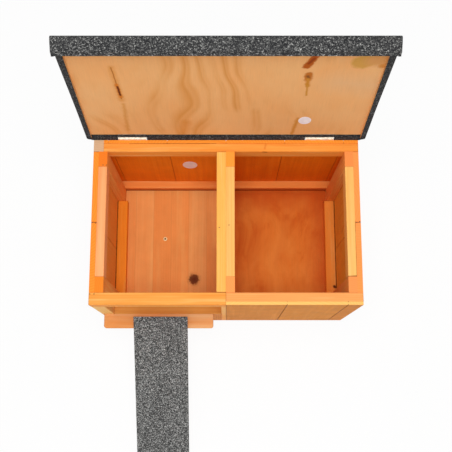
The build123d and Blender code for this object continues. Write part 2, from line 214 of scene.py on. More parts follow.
def woodFinish(name, solid, axis, pith, look, knots=(), strips=None):
    material, tree, shader = newMaterial(name)
    point, normal = objectSpace(tree)
    wood = grainSpace(tree, point, axis, pith)
    if strips:  # boards side by side, each from its own tree
        along, first, width = strips
        place = vec(tree, "DOT_PRODUCT", point, grainLine[along])
        count = calc(tree, "DIVIDE", calc(tree, "SUBTRACT", place, first), width)
        dice = tree.nodes.new("ShaderNodeTexWhiteNoise")
        dice.noise_dimensions = "1D"
        tree.links.new(calc(tree, "FLOOR", count), dice.inputs["W"])
        wood = vec(tree, "ADD", wood, vec(tree, "MULTIPLY", dice.outputs["Color"], (0.22, 0.22, 1.0)))
        middle = calc(tree, "ABSOLUTE", calc(tree, "SUBTRACT", calc(tree, "FRACT", count), 0.5))
        fromJoint = calc(tree, "MULTIPLY", calc(tree, "SUBTRACT", 0.5, middle), width / look["seamWidth"])
        seam = calc(tree, "SUBTRACT", 1.0, fromJoint, clamp=True)
    else:  # a dark line where the timber's end butts another
        low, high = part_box(solid)
        letter = "XYZ".index(axis)
        place = vec(tree, "DOT_PRODUCT", point, grainLine[axis])
        fromEnd = calc(tree, "MINIMUM", calc(tree, "SUBTRACT", place, low[letter]),
                       calc(tree, "SUBTRACT", high[letter], place))
        seam = calc(tree, "SUBTRACT", 1.0, calc(tree, "DIVIDE", fromEnd, look["seamWidth"]), clamp=True)
    wobble = noise(tree, vec(tree, "MULTIPLY", wood, (1, 1, 0.14)), look["wobbleScale"], 3.0, 0.5)
    lean = calc(tree, "MULTIPLY", calc(tree, "SUBTRACT", wobble, 0.5), look["wobble"])
    radius = vec(tree, "LENGTH", vec(tree, "MULTIPLY", wood, (1, 1, look["taper"])))
    radius = calc(tree, "ADD", radius, lean)
    knot = knotField(tree, point, knots)
    if knots:
        radius = calc(tree, "ADD", radius, calc(tree, "MULTIPLY", knot, look["knotSwell"]))
    ring = calc(tree, "FRACT", calc(tree, "DIVIDE", radius, look["ring"]))
    late = ramp(tree, ring, [(0.0, 0.0), (0.5, 0.18), (0.86, 1.0), (1.0, 0.0)])
    fibre = noise(tree, vec(tree, "MULTIPLY", wood, (1, 1, 0.025)), look["fibreScale"], 4.0, 0.65)
    streak = noise(tree, vec(tree, "MULTIPLY", wood, (1, 1, 0.05)), look["streakScale"], 3.0, 0.6)
    blotch = noise(tree, wood, look["blotchScale"], 3.0, 0.6)
    colour = linear(look["tone"])
    if strips:
        colour = blend(tree, dice.outputs["Value"], linear(look["tone"]), linear(look["otherTone"]))
    colour = tint(tree, late, look["latewood"], colour, look["deep"])
    darkStreak = ramp(tree, streak, [(0.36, 0.0), (0.68, 1.0)])
    colour = tint(tree, darkStreak, look["streak"], colour, look["streakTone"])
    paleStreak = ramp(tree, streak, [(0.3, 1.0), (0.46, 0.0)])
    colour = tint(tree, paleStreak, look["pale"], colour, look["paleTone"])
    if look["outward"]:  # a wall's outer face is tinted to one outer tone; the room side keeps the wall's tone, which on the back wall is darker and redder, partly painted shade inside the box
        outside = vec(tree, "DOT_PRODUCT", normal, look["outward"])
        outerFace = ramp(tree, outside, [(0.5, 0.0), (0.7, 1.0)])
        colour = tint(tree, outerFace, look["outShare"], colour, look["outTone"])
        figure = ramp(tree, calc(tree, "ADD", late, streak), [(0.4, 0.0), (1.0, 1.0)])
        figure = calc(tree, "MULTIPLY", outerFace, figure)
        colour = tint(tree, figure, look["outFigure"], colour, look["outDeep"])
    colour = blend(tree, look["fibre"], colour, ramp(tree, fibre, [(0.25, 0.5), (0.75, 1.0)]), "MULTIPLY")
    colour = blend(tree, look["blotch"], colour, ramp(tree, blotch, [(0.3, 0.6), (0.7, 1.0)]), "MULTIPLY")
    endOn = calc(tree, "ABSOLUTE", vec(tree, "DOT_PRODUCT", normal, grainLine[axis]))
    endOn = ramp(tree, endOn, [(0.8, 0.0), (0.95, 1.0)])
    endWood = tint(tree, late, 0.5, linear(look["end"]), look["endDeep"])
    colour = blend(tree, endOn, colour, endWood)
    onSide = calc(tree, "MULTIPLY", calc(tree, "SUBTRACT", 1.0, endOn), look["seam"])
    shown = calc(tree, "ADD", onSide, calc(tree, "MULTIPLY", endOn, look["endTick"]))
    colour = tint(tree, seam, shown, colour, look["seamTone"])
    for start, end, reach, strength, rgb in look["lines"]:
        drift = vec(tree, "SCALE", noise(tree, point, 60.0, 2.0, 0.5, output="Color"), 2 * mm)
        near = nearLine(tree, vec(tree, "ADD", point, drift), start, end, reach)
        colour = tint(tree, near, strength, colour, rgb)
    if knots:
        heart = ramp(tree, knot, [(0.0, 0.0), (0.3, 0.16), (0.5, 0.9), (1.0, 1.0)])
        colour = blend(tree, heart, colour, linear(look["knot"]))
    tree.links.new(colour, shader.inputs["Base Color"])
    rough = ramp(tree, fibre, [(0.2, look["rough"] - 0.08), (0.8, look["rough"] + 0.1)])
    tree.links.new(rough, shader.inputs["Roughness"])
    shader.inputs["Specular IOR Level"].default_value = look["gloss"]
    height = calc(tree, "SUBTRACT", fibre, calc(tree, "MULTIPLY", late, 0.6))
    addBump(tree, shader, height, look["relief"])
    return material


timberLook = {
    "tone": (255, 186, 102), "deep": (240, 136, 52), "streakTone": (252, 146, 56),
    "pale": 0.35, "paleTone": (255, 206, 134), "end": (252, 156, 74), "endDeep": (226, 114, 38),
    "knot": (104, 42, 12), "knotSwell": 30 * mm, "ring": 5.5 * mm, "taper": 0.01, "latewood": 0.45,
    "wobble": 18 * mm, "wobbleScale": 7.0, "fibre": 0.14, "fibreScale": 620.0,
    "streak": 0.4, "streakScale": 70.0, "blotch": 0.14, "blotchScale": 11.0,
    "seam": 0.6, "seamWidth": 1.8 * mm, "seamTone": (150, 70, 14), "endTick": 0.0, "lines": (),
    "outward": None, "outTone": (238, 156, 64), "outDeep": (206, 112, 36), "outShare": 0.75, "outFigure": 0.5,
    "rough": 0.6, "gloss": 0.08, "relief": 0.25 * mm,
}
timberTones = {  # where a timber's colour is its own, with lines of painted shade on the bottom rails
    "left_top_rail": {"tone": (255, 184, 124), "streakTone": (252, 158, 104), "paleTone": (255, 200, 146)},
    "left_back_post": {"end": (244, 130, 40), "endDeep": (234, 114, 26)},
    "left_front_post": {"end": (248, 138, 42), "endDeep": (238, 118, 24)},
    "right_top_rail": {
        "tone": (255, 200, 116), "streakTone": (255, 180, 84), "deep": (248, 166, 76),
        "lines": [((0.357, -0.1665, 0.49), (0.385, -0.165, 0.49), 4 * mm, 1.2, (136, 66, 16)),
                  ((0.3848, -0.165, 0.49), (0.3848, 0.0, 0.49), 2.4 * mm, 0.8, (150, 74, 20))]},
    "right_back_post": {"end": (244, 148, 78), "endDeep": (238, 130, 58)},
    "right_front_post": {"end": (248, 154, 86), "endDeep": (240, 136, 62)},
    "back_top_rail": {
        "tone": (255, 168, 76), "streakTone": (240, 128, 34), "deep": (236, 122, 30),
        "lines": [((-0.29, 0.241, 0.49), (-0.03, 0.2405, 0.49), 3 * mm, 0.9, (140, 60, 8)),  # wall gap
                  ((0.121, 0.236, 0.49), (0.118, 0.224, 0.49), 5 * mm, 0.6, (214, 100, 26)),  # small knot
                  ((0.114, 0.2135, 0.486), (0.122, 0.2135, 0.484), 7 * mm, 0.8, (120, 50, 8))]},
    "back_left_post": {"end": (216, 178, 142), "endDeep": (204, 160, 120)},
    "door_header": {"tone": (252, 188, 98), "streakTone": (248, 142, 46), "streak": 0.9, "pale": 0.9,
                    "streakScale": 42.0},
    "front_right_top_rail": {"tone": (255, 178, 104), "streakTone": (250, 152, 78)},
    "partition_side_bar": {"tone": (255, 194, 98), "streakTone": (255, 178, 80), "deep": (250, 170, 70)},
    "partition_top_rail": {"tone": (255, 196, 112), "streakTone": (255, 178, 88), "deep": (250, 166, 80)},
    "partition_back_post": {"end": (255, 160, 62), "endDeep": (246, 138, 40)},
    "partition_front_post": {"end": (255, 160, 88), "endDeep": (246, 142, 62)},
    "back_bottom_rail": {
        "tone": (255, 166, 86), "streakTone": (244, 136, 54),
        "lines": [((-0.36, 0.213, 0.018), (0.36, 0.213, 0.018), 30 * mm, 1.1, (150, 62, 12))]},  # painted shade along the foot of the rail, where it meets the floor
    "left_bottom_rail": {
        "tone": (255, 164, 52), "streakTone": (248, 138, 30), "deep": (244, 132, 26),
        "lines": [((-0.385, -0.21, 0.053), (-0.385, 0.21, 0.053), 7 * mm, 1.6, (92, 40, 8))]},  # painted shade in the corner where the wall meets the rail top
    "right_bottom_rail": {
        "tone": (255, 168, 72), "streakTone": (252, 144, 50), "deep": (246, 140, 44),
        # the first line is painted shade in the corner where the wall meets the rail top
        "lines": [((0.385, -0.21, 0.053), (0.385, 0.21, 0.053), 5 * mm, 1.2, (110, 46, 8)),
                  ((0.377, -0.137, 0.052), (0.379, -0.139, 0.052), 7 * mm, 1.6, (96, 44, 12))]},
    "door_left_jamb": {"tone": (255, 200, 120), "deep": (250, 176, 92), "streakTone": (252, 176, 92)},
    "door_sill": {"tone": (238, 164, 80), "deep": (220, 132, 54), "streakTone": (216, 128, 50),
                  "latewood": 0.3},
}
timberAxes = {
    "X": ["back_top_rail", "back_bottom_rail", "front_right_top_rail", "front_right_bottom_rail",
          "door_header", "door_sill", "front_left_bottom_rail"],
    "Y": ["left_top_rail", "left_bottom_rail", "right_top_rail", "right_bottom_rail",
          "partition_top_rail", "partition_bottom_rail", "partition_side_bar"],
    "Z": ["left_front_post", "left_back_post", "right_front_post", "right_back_post",
          "back_left_post", "back_right_post", "front_middle_post", "front_right_post",
          "door_left_jamb", "door_right_jamb", "partition_front_post", "partition_back_post"],
}


def pithNear(name, axis, dice, reach=0.09):  # a pith line beside this timber
    low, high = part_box(name)
    centre = (low + high) / 2
    angle = dice.uniform(0, math.tau)
    away = [dice.uniform(0.5, 1.0) * reach * math.cos(angle),
            dice.uniform(0.5, 1.0) * reach * math.sin(angle)]
    return tuple(c if letter == axis else c + away.pop() for letter, c in zip("XYZ", centre))


timberDice = random.Random(11)
for axis, names in timberAxes.items():
    for name in names:
        look = {**timberLook, **timberTones.get(name, {})}
        pith = pithNear(name, axis, timberDice)
        dress(name, woodFinish("stain_" + name, name, axis, pith, look))
print("frame timbers stained:", sum(len(names) for names in timberAxes.values()))

boardLook = {
    **timberLook,
    "tone": (240, 140, 44), "otherTone": (232, 126, 46), "deep": (210, 98, 20), "streakTone": (222, 108, 28),
    "paleTone": (244, 158, 70), "end": (255, 150, 52), "endDeep": (236, 120, 26),
    "ring": 8 * mm, "latewood": 0.25, "wobble": 42 * mm, "wobbleScale": 4.5, "streak": 0.3, "blotch": 0.25,
    "seam": 0.75, "seamWidth": 3 * mm, "seamTone": (130, 62, 14), "joint": 178 * mm,
}
boardTones = {
    # the back wall's room-side tones are darker and redder, partly painted shade inside the box
    "back_wall": {"outward": (0, 1, 0), "tone": (255, 144, 26), "otherTone": (255, 132, 24),
                  "deep": (236, 100, 12), "paleTone": (255, 152, 44), "latewood": 0.12,
                  "seam": 0.35, "seamWidth": 2 * mm},
    "left_wall": {"outward": (-1, 0, 0), "tone": (255, 194, 100), "otherTone": (255, 182, 88),
                  "deep": (248, 150, 50), "streakTone": (250, 152, 56), "joint": 219 * mm,
                  "seam": 0.25, "endTick": 0.8},
    "right_wall": {"outward": (1, 0, 0), "outTone": (238, 146, 58), "tone": (255, 208, 90),
                   "otherTone": (255, 202, 84), "deep": (255, 164, 46), "streakTone": (255, 166, 54),
                   "end": (255, 156, 82), "endDeep": (250, 140, 60),
                   "joint": 219 * mm, "seam": 0.25, "endTick": 0.8},
    "front_right_wall": {"tone": (230, 147, 46), "otherTone": (224, 138, 44), "deep": (208, 118, 30),
                         "streakTone": (216, 126, 34), "end": (255, 198, 112), "endDeep": (252, 180, 86),
                         "latewood": 0.15, "blotch": 0.35, "blotchScale": 16.0},
    "front_left_wall": {"outward": (0, -1, 0)},
}
boardWalls = {  # along which axis the boards lie side by side, and where a joint is
    "left_wall": ("Y", -0.005), "right_wall": ("Y", -0.005),
    "back_wall": ("X", 0.0), "front_right_wall": ("X", 0.0), "front_left_wall": ("X", -0.361),
    "partition_wall": ("Y", 0.01), "partition_lintel": ("Y", 0.036),
}
boardDice = random.Random(23)
for name, (along, first) in boardWalls.items():
    pith = pithNear(name, "Z", boardDice, 0.12)
    look = {**boardLook, **boardTones.get(name, {})}
    dress(name, woodFinish("boards_" + name, name, "Z", pith, look, (), (along, first, look["joint"])))
print("board walls stained:", len(boardWalls))

barePineLook = {
    **timberLook,
    "tone": (226, 184, 128), "deep": (196, 140, 82), "streakTone": (210, 160, 100),
    "paleTone": (234, 198, 148), "end": (214, 168, 112), "endDeep": (180, 124, 70), "rough": 0.68,
}
barePine = {"lid_front_batten": "X", "lid_left_batten": "Z", "lid_right_batten": "Z",
            "ramp_board": "Y", "ramp_wedge": "X"}
for name, axis in barePine.items():
    dress(name, woodFinish("bare_" + name, name, axis, pithNear(name, axis, timberDice), barePineLook))
print("bare pine:", len(barePine))

landingLook = {
    **timberLook,
    "tone": (252, 190, 130), "deep": (240, 164, 98), "streakTone": (236, 138, 54),
    "paleTone": (250, 194, 140), "end": (230, 146, 82), "ring": 7 * mm, "latewood": 0.3,
    "streak": 0.8, "streakScale": 38.0,
}
for name in ("landing_step", "landing_cleat"):
    dress(name, woodFinish("salmon_" + name, name, "X", pithNear(name, "X", timberDice), landingLook))
print("landing dressed")

stripFloorLook = {
    **timberLook,
    "tone": (252, 184, 110), "otherTone": (248, 164, 88), "deep": (238, 146, 70),
    "streakTone": (242, 148, 70), "paleTone": (250, 192, 112), "pale": 0.45, "ring": 9 * mm,
    "latewood": 0.15, "wobble": 30 * mm, "streak": 0.4, "streakScale": 32.0, "blotch": 0.25,
    "seam": 0.14, "seamWidth": 2 * mm, "knot": (98, 40, 14), "strip": 63 * mm, "firstStrip": -0.384,
    "knots": [(-0.1125, -0.108, 0.015, 0.029)],
}
dress("floor_left", woodFinish(
    "pine_strips", "floor_left", "Y", pithNear("floor_left", "Y", timberDice), stripFloorLook,
    stripFloorLook["knots"], ("X", stripFloorLook["firstStrip"], stripFloorLook["strip"])))

plyFloorLook = {
    "tone": (224, 119, 36), "pale": (236, 143, 58), "deep": (202, 86, 18), "line": 0.15, "pores": 500.0,
    "edges": [  # from and to, reach, strength: painted shade along the back wall, the right wall and the partition
        ((0.03, 0.21, 0.015), (0.35, 0.21, 0.015), 90 * mm, 0.9),
        ((0.35, -0.21, 0.015), (0.35, 0.21, 0.015), 80 * mm, 0.8),
        ((0.03, -0.21, 0.015), (0.03, 0.21, 0.015), 40 * mm, 0.5),
    ],
}


def plyFloorFinish(name, look):
    material, tree, shader = newMaterial(name)
    point, normal = objectSpace(tree)
    cloud = noise(tree, vec(tree, "MULTIPLY", point, (1, 0.6, 1)), 9.0, 4.0, 0.62, 0.6)
    figure = noise(tree, vec(tree, "MULTIPLY", point, (1, 0.4, 1)), 4.5, 2.0, 0.45, 0.8)
    contour = calc(tree, "FRACT", calc(tree, "MULTIPLY", figure, 5.0))
    line = ramp(tree, contour, [(0.0, 0.0), (0.55, 0.1), (0.85, 1.0), (1.0, 0.0)])
    fibre = noise(tree, vec(tree, "MULTIPLY", point, (1, 0.03, 1)), look["pores"], 3.0, 0.6)
    clouded = ramp(tree, cloud, [(0.36, 0.0), (0.66, 1.0)])
    colour = blend(tree, clouded, linear(look["tone"]), linear(look["pale"]))
    colour = tint(tree, ramp(tree, cloud, [(0.28, 1.0), (0.46, 0.0)]), 0.7, colour, look["deep"])
    colour = tint(tree, line, look["line"], colour, look["deep"])
    drift = vec(tree, "SUBTRACT", noise(tree, point, 14.0, 3.0, 0.6, output="Color"), (0.5, 0.5, 0.5))
    ragged = vec(tree, "ADD", point, vec(tree, "MULTIPLY", drift, (0.08, 0.08, 0)))
    # painted shade near the walls, darkening the floor towards them
    for start, end, reach, strength in look["edges"]:
        colour = tint(tree, nearLine(tree, ragged, start, end, reach), strength, colour, look["deep"])
    colour = blend(tree, 0.12, colour, ramp(tree, fibre, [(0.3, 0.4), (0.7, 1.0)]), "MULTIPLY")
    tree.links.new(colour, shader.inputs["Base Color"])
    tree.links.new(ramp(tree, fibre, [(0.2, 0.52), (0.8, 0.7)]), shader.inputs["Roughness"])
    shader.inputs["Specular IOR Level"].default_value = 0.1
    addBump(tree, shader, fibre, 0.15 * mm)
    return material


dress("floor_right", plyFloorFinish("mottled_ply", plyFloorLook))
print("floors dressed")

# lid: its own flat axes are u across, v from the hinge line to the free edge, w out of its underside

hinge = frame["joints"][0]
lidTurn = math.pi - math.radians(hinge["range_deg"][1])
lidFrame = Matrix.Translation(hinge["pos_m"]) @ Matrix.Rotation(lidTurn, 4, "X")


def lidSpace(tree, point):
    turn = tree.nodes.new("ShaderNodeMapping")
    turn.inputs["Rotation"].default_value = (-lidTurn, 0, 0)
    tree.links.new(vec(tree, "SUBTRACT", point, hinge["pos_m"]), turn.inputs["Vector"])
    return vec(tree, "MULTIPLY", turn.outputs["Vector"], (1, 1, 0))


lidPlyLook = {
    "tone": (234, 177, 117), "warm": (234, 169, 106), "amber": (212, 140, 64), "figure": 0.8, "pores": 420.0,
    "ragged": 14 * mm, "swirl": 46 * mm, "sway": 420 * mm, "swayScale": 1.9,
    "swirls": [  # from and to as (u, v), reach, strength: where the veneer's figure shows
        ((-0.11, 0.48), (-0.10, 0.02), 80 * mm, 1.6), ((0.0, 0.48), (0.03, 0.2), 50 * mm, 1.3),
        ((-0.2, 0.32), (-0.19, 0.05), 40 * mm, 0.8), ((-0.36, 0.12), (-0.30, 0.02), 50 * mm, 0.8),
        ((0.09, 0.16), (0.11, 0.02), 40 * mm, 0.9),
    ],
    "marks": [  # from and to as (u, v), reach, strength, colour
        ((0.30, 0.33), (0.40, 0.31), 80 * mm, 0.9, (226, 176, 124)),  # pale patch at the right
        ((0.345, 0.43), (0.375, 0.452), 34 * mm, 3.0, (206, 152, 72)),  # resin stain
        ((0.38, 0.44), (0.41, 0.45), 40 * mm, 1.6, (212, 150, 86)),
        ((0.398, 0.412), (0.41, 0.416), 14 * mm, 1.8, (208, 138, 66)),
        ((-0.2945, 0.405), (-0.287, 0.233), 14 * mm, 0.7, (214, 140, 58)),  # split in the veneer
        ((-0.2945, 0.405), (-0.2872, 0.24), 2.4 * mm, 1.0, (166, 96, 36)),
        ((-0.2915, 0.318), (-0.2875, 0.25), 8 * mm, 1.2, (206, 116, 34)),
        ((-0.2905, 0.306), (-0.288, 0.26), 4.5 * mm, 1.5, (104, 42, 10)),
        ((-0.285, 0.21), (-0.291, 0.05), 9 * mm, 0.7, (206, 138, 62)),
        ((0.2265, 0.47), (0.206, 0.41), 13 * mm, 2.6, (176, 86, 22)),  # two knots and their tail
        ((0.2225, 0.45), (0.21, 0.425), 6 * mm, 1.6, (146, 62, 14)),
        ((0.2153, 0.372), (0.2155, 0.346), 13 * mm, 2.2, (186, 108, 40)),
        ((0.2135, 0.362), (0.2165, 0.352), 6 * mm, 1.8, (140, 84, 36)),
        ((0.2155, 0.345), (0.2165, 0.31), 9 * mm, 1.4, (200, 132, 48)),
        ((0.2165, 0.31), (0.219, 0.26), 5 * mm, 1.2, (202, 138, 56)),
        ((0.197, 0.025), (0.207, 0.125), 8 * mm, 1.2, (208, 138, 60)),
        ((-0.128, 0.02), (-0.116, 0.10), 24 * mm, 0.7, (214, 134, 52)),
    ],
}


def lidPlyFinish(name, look):
    material, tree, shader = newMaterial(name)
    point, normal = objectSpace(tree)
    sheet = lidSpace(tree, point)
    acrossSheet = vec(tree, "DOT_PRODUCT", sheet, (1, 0, 0))
    slow = noise(tree, vec(tree, "MULTIPLY", sheet, (1.2, 1, 1)), look["swayScale"], 2.0, 0.35)
    field = calc(tree, "ADD", acrossSheet, calc(tree, "MULTIPLY", slow, look["sway"]))
    contour = calc(tree, "FRACT", calc(tree, "DIVIDE", field, look["swirl"]))
    line = ramp(tree, contour, [(0.0, 0.0), (0.2, 0.1), (0.5, 1.0), (0.6, 0.5),
                                (0.75, 0.6), (0.95, 0.0), (1.0, 0.0)])
    shown = ramp(tree, noise(tree, sheet, 5.0, 2.0, 0.5), [(0.5, 0.0), (0.8, 0.8)])
    for start, end, reach, strength in look["swirls"]:
        near = nearLine(tree, sheet, (*start, 0), (*end, 0), reach)
        shown = calc(tree, "MAXIMUM", shown, calc(tree, "MULTIPLY", near, strength, clamp=True))
    mottle = noise(tree, vec(tree, "MULTIPLY", sheet, (1, 0.6, 1)), 7.0, 4.0, 0.6)
    fibre = noise(tree, vec(tree, "MULTIPLY", sheet, (1, 0.03, 1)), look["pores"], 3.0, 0.6)
    flecks = noise(tree, vec(tree, "MULTIPLY", sheet, (1, 0.12, 1)), 120.0, 2.0, 0.5)
    drift = vec(tree, "SUBTRACT", noise(tree, sheet, 60.0, 3.0, 0.6, output="Color"), (0.5, 0.5, 0.5))
    drift = vec(tree, "MULTIPLY", drift, (1, 1, 0))
    mottled = ramp(tree, mottle, [(0.35, 0.0), (0.65, 1.0)])
    colour = blend(tree, mottled, linear(look["tone"]), linear(look["warm"]))
    colour = tint(tree, calc(tree, "MULTIPLY", line, shown), look["figure"], colour, look["amber"])
    for start, end, reach, strength, rgb in look["marks"]:
        ragged = vec(tree, "ADD", sheet, vec(tree, "SCALE", drift, min(look["ragged"], 1.2 * reach)))
        near = nearLine(tree, ragged, (*start, 0), (*end, 0), reach)
        colour = tint(tree, near, strength, colour, rgb)
    colour = blend(tree, 0.12, colour, ramp(tree, fibre, [(0.3, 0.4), (0.7, 1.0)]), "MULTIPLY")
    colour = blend(tree, 0.08, colour, ramp(tree, flecks, [(0.28, 0.55), (0.42, 1.0)]), "MULTIPLY")
    tree.links.new(colour, shader.inputs["Base Color"])
    tree.links.new(ramp(tree, fibre, [(0.2, 0.52), (0.8, 0.7)]), shader.inputs["Roughness"])
    shader.inputs["Specular IOR Level"].default_value = 0.12
    addBump(tree, shader, fibre, 0.15 * mm)
    return material


dress("lid_panel", lidPlyFinish("lid_ply", lidPlyLook))
print("lid panel dressed")

# roofing felt: mineral grit on a bitumen sheet, laid with soft waves and rough cut edges

lidFeltLook = {
    "pitch": (26, 27, 29), "grit": (52, 52, 53), "fleck": (88, 88, 87), "spark": (186, 186, 182),
    "gritScale": 430.0, "clumpScale": 240.0, "relief": 1.0 * mm, "pitchOfCuts": 14 * mm,
    "wave": 1.5 * mm, "waveScale": 9.0, "edge": 0.9 * mm,
    "lip": {"start": 0.505, "from": 0.44, "full": 0.515, "back": -14.8 * mm, "front": 24.2 * mm,
            "rise": 5.0 * mm, "reach": 3.0 * mm, "half": 0.4255, "round": 7 * mm,
            "foot": 0.9, "turnedIn": (0.5, 0.511), "overlap": 1.4 * mm, "droop": 3.4 * mm,
            "wider": 3.5 * mm, "narrower": 1.2 * mm},
    "hem": {"low": 5.5 * mm, "from": 15 * mm, "high": 26 * mm, "under": (-3.5 * mm, -0.5 * mm), "trim": 0.66},
    "sides": {"from": 0.418, "rise": (0.15, 0.5), "spread": 3.0 * mm}, "flatRim": 60 * mm, "fraying": 70,
    "endCuts": [0.4195, 0.4212, 0.4232, 0.4248],
    "depthCuts": [-14.1 * mm, -12.4 * mm, -10.4 * mm, -8.0 * mm],
    "darkBands": [  # from and to as (u, v), reach: where the felt is tinted darker, towards the pitch colour
        ((-0.412, 0.0), (-0.412, 0.5), 17 * mm), ((0.412, 0.0), (0.412, 0.5), 17 * mm),
        ((-0.41, 0.004), (0.41, 0.004), 20 * mm)],
    "darkBandShare": 0.55,
}
rampFeltLook = {
    **lidFeltLook, "darkBands": (),
    "pitch": (36, 36, 36), "grit": (92, 92, 91), "fleck": (142, 142, 140), "spark": (216, 216, 213),
    "gritScale": 480.0, "clumpScale": 290.0,
}


def feltFinish(name, look):
    material, tree, shader = newMaterial(name)
    point, normal = objectSpace(tree)
    drift = vec(tree, "SCALE", noise(tree, point, 330.0, 1.0, 0.5, output="Color"), 4 * mm)
    strewn = vec(tree, "ADD", point, drift)
    grain = vec(tree, "DOT_PRODUCT", cells(tree, strewn, look["gritScale"]), (1, 0, 0))
    bead = cells(tree, strewn, look["gritScale"], "Distance")
    clump = noise(tree, point, look["clumpScale"], 2.0, 0.6, 0.8)
    tone = calc(tree, "ADD", calc(tree, "MULTIPLY", grain, 0.4), calc(tree, "MULTIPLY", clump, 0.6))
    tones = zip((0.36, 0.52, 0.63, 0.8), ("pitch", "grit", "fleck", "spark"))
    colour = ramp(tree, tone, [(place, linear(look[shade])) for place, shade in tones])
    # darker towards the pitch colour along the side strips and the hinge edge
    for start, end, reach in look["darkBands"]:
        near = nearLine(tree, lidSpace(tree, point), (*start, 0), (*end, 0), reach)
        darkened = ramp(tree, near, [(0.0, 0.0), (0.3, 1.0)])
        colour = tint(tree, darkened, look["darkBandShare"], colour, look["pitch"])
    tree.links.new(colour, shader.inputs["Base Color"])
    tree.links.new(ramp(tree, clump, [(0.3, 0.75), (0.7, 0.95)]), shader.inputs["Roughness"])
    shader.inputs["Specular IOR Level"].default_value = 0.25
    addBump(tree, shader, calc(tree, "SUBTRACT", clump, calc(tree, "MULTIPLY", bead, 0.6)), look["relief"])
    return material


def easeIn(value, low, high):  # 0 below low, 1 above high, smooth between
    share = max(0.0, min(1.0, (value - low) / (high - low)))
    return share * share * (3 - 2 * share)


def foldedFelt(co, look):  # where the loose felt leaves the wood: its folds, laps and cut edges
    lip, hem, sides = look["lip"], look["hem"], look["sides"]
    side = math.copysign(1.0, co.x)
    through = (co.z - lip["back"]) / (lip["front"] - lip["back"])  # 0 at the lid's top, 1 at the lip's foot
    atLip = easeIn(co.y, lip["from"], lip["full"])
    ragged = smoothNoise.noise(Vector((co.x * look["fraying"], co.y * look["fraying"], 3.0))) * mm
    out = co.copy()
    around = Vector((abs(co.x) - lip["half"] + lip["round"], lip["back"] + lip["round"] - co.z))
    if co.y > lip["start"] and min(around) > 0 and around.length > lip["round"]:  # the lip's outer corners
        around = around.normalized() * lip["round"]
        out.x = side * (lip["half"] - lip["round"] + around.x)
        out.z = lip["back"] + lip["round"] - around.y
    if through > lip["foot"] and lip["turnedIn"][0] < co.y < lip["turnedIn"][1]:
        out.y -= lip["overlap"] + ragged
        out.z += lip["droop"]
    topShare = max(0.0, min(1.0, 1.0 - 2 * through)) * atLip
    out.z -= lip["rise"] * topShare
    out.y += lip["reach"] * topShare
    if abs(co.x) > sides["from"]:
        flare = lip["wider"] - (lip["wider"] + lip["narrower"]) * max(0.0, through)
        out.x += side * flare * (co.y > lip["start"])
        out.x += side * sides["spread"] * easeIn(co.y, *sides["rise"]) * (co.y < lip["start"])
    if hem["under"][0] < co.z < hem["under"][1] and hem["from"] < co.y < hem["high"]:
        out.y = hem["low"] + (co.y - hem["low"]) * hem["trim"] + 0.6 * ragged
    return out


def laidFelt(name, source, flat, material, body, look):  # the felt solid, cut into a fine net and softened
    bm = bmesh.new()
    bm.from_mesh(nodes[source].data)
    bm.transform(flat.inverted())
    bmesh.ops.remove_doubles(bm, verts=bm.verts, dist=0.01 * mm)
    bmesh.ops.dissolve_limit(bm, angle_limit=math.radians(1), verts=bm.verts, edges=bm.edges)
    low = [min(v.co[i] for v in bm.verts) for i in range(3)]
    high = [max(v.co[i] for v in bm.verts) for i in range(3)]
    cuts = []
    for i in (0, 1):
        count = int((high[i] - low[i]) / look["pitchOfCuts"])
        for step in range(1, count):
            place = Vector((0, 0, 0))
            place[i] = low[i] + (high[i] - low[i]) * step / count
            cuts.append((place, Vector((i == 0, i == 1, 0))))
    for u in look["endCuts"]:
        cuts += [(Vector((sign * u, 0, 0)), Vector((1, 0, 0))) for sign in (-1, 1)]
    cuts += [(Vector((0, 0, w)), Vector((0, 0, 1))) for w in look["depthCuts"]]
    for place, facing in cuts:
        bmesh.ops.bisect_plane(bm, geom=[*bm.verts, *bm.edges, *bm.faces], dist=0.01 * mm,
                               plane_co=place, plane_no=facing)
    bmesh.ops.triangulate(bm, faces=[face for face in bm.faces if len(face.verts) > 4])
    for v in bm.verts:
        away = [min(v.co[i] - low[i], high[i] - v.co[i]) for i in (0, 1)]
        inside = max(0.0, min(1.0, min(away) / look["flatRim"]))
        swell = 0.5 + 0.5 * smoothNoise.noise(Vector((v.co.x, v.co.y, 0.3)) * look["waveScale"])
        v.co = foldedFelt(v.co, look)
        v.co.z -= look["wave"] * swell * inside
    bm.transform(flat)
    piece = newPiece(name, bm, material, body, smooth=False)
    bevel = piece.modifiers.new("rolled edges", "BEVEL")
    bevel.width = look["edge"]
    bevel.segments = 2
    bevel.limit_method = "ANGLE"
    bevel.angle_limit = math.radians(50)
    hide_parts(source)
    return piece


weatherFlapLook = {  # loose felt that hangs over the hinge gap, cut away round the hinges
    "runs": [(-0.4175, -0.3268), (-0.2392, 0.2392), (0.3268, 0.4175)], "step": 5 * mm, "thick": 1.7 * mm,
    "end": 0.4185, "corner": 14 * mm,
    "fall": [(12 * mm, -0.8 * mm), (6 * mm, -0.8 * mm), (0.0, -0.7 * mm),
             (-5 * mm, -0.1 * mm), (-9 * mm, 1.2 * mm)],
    "ripple": 0.7 * mm, "rippleScale": 32.0, "fray": 1.4 * mm, "frayScale": 90.0,
}


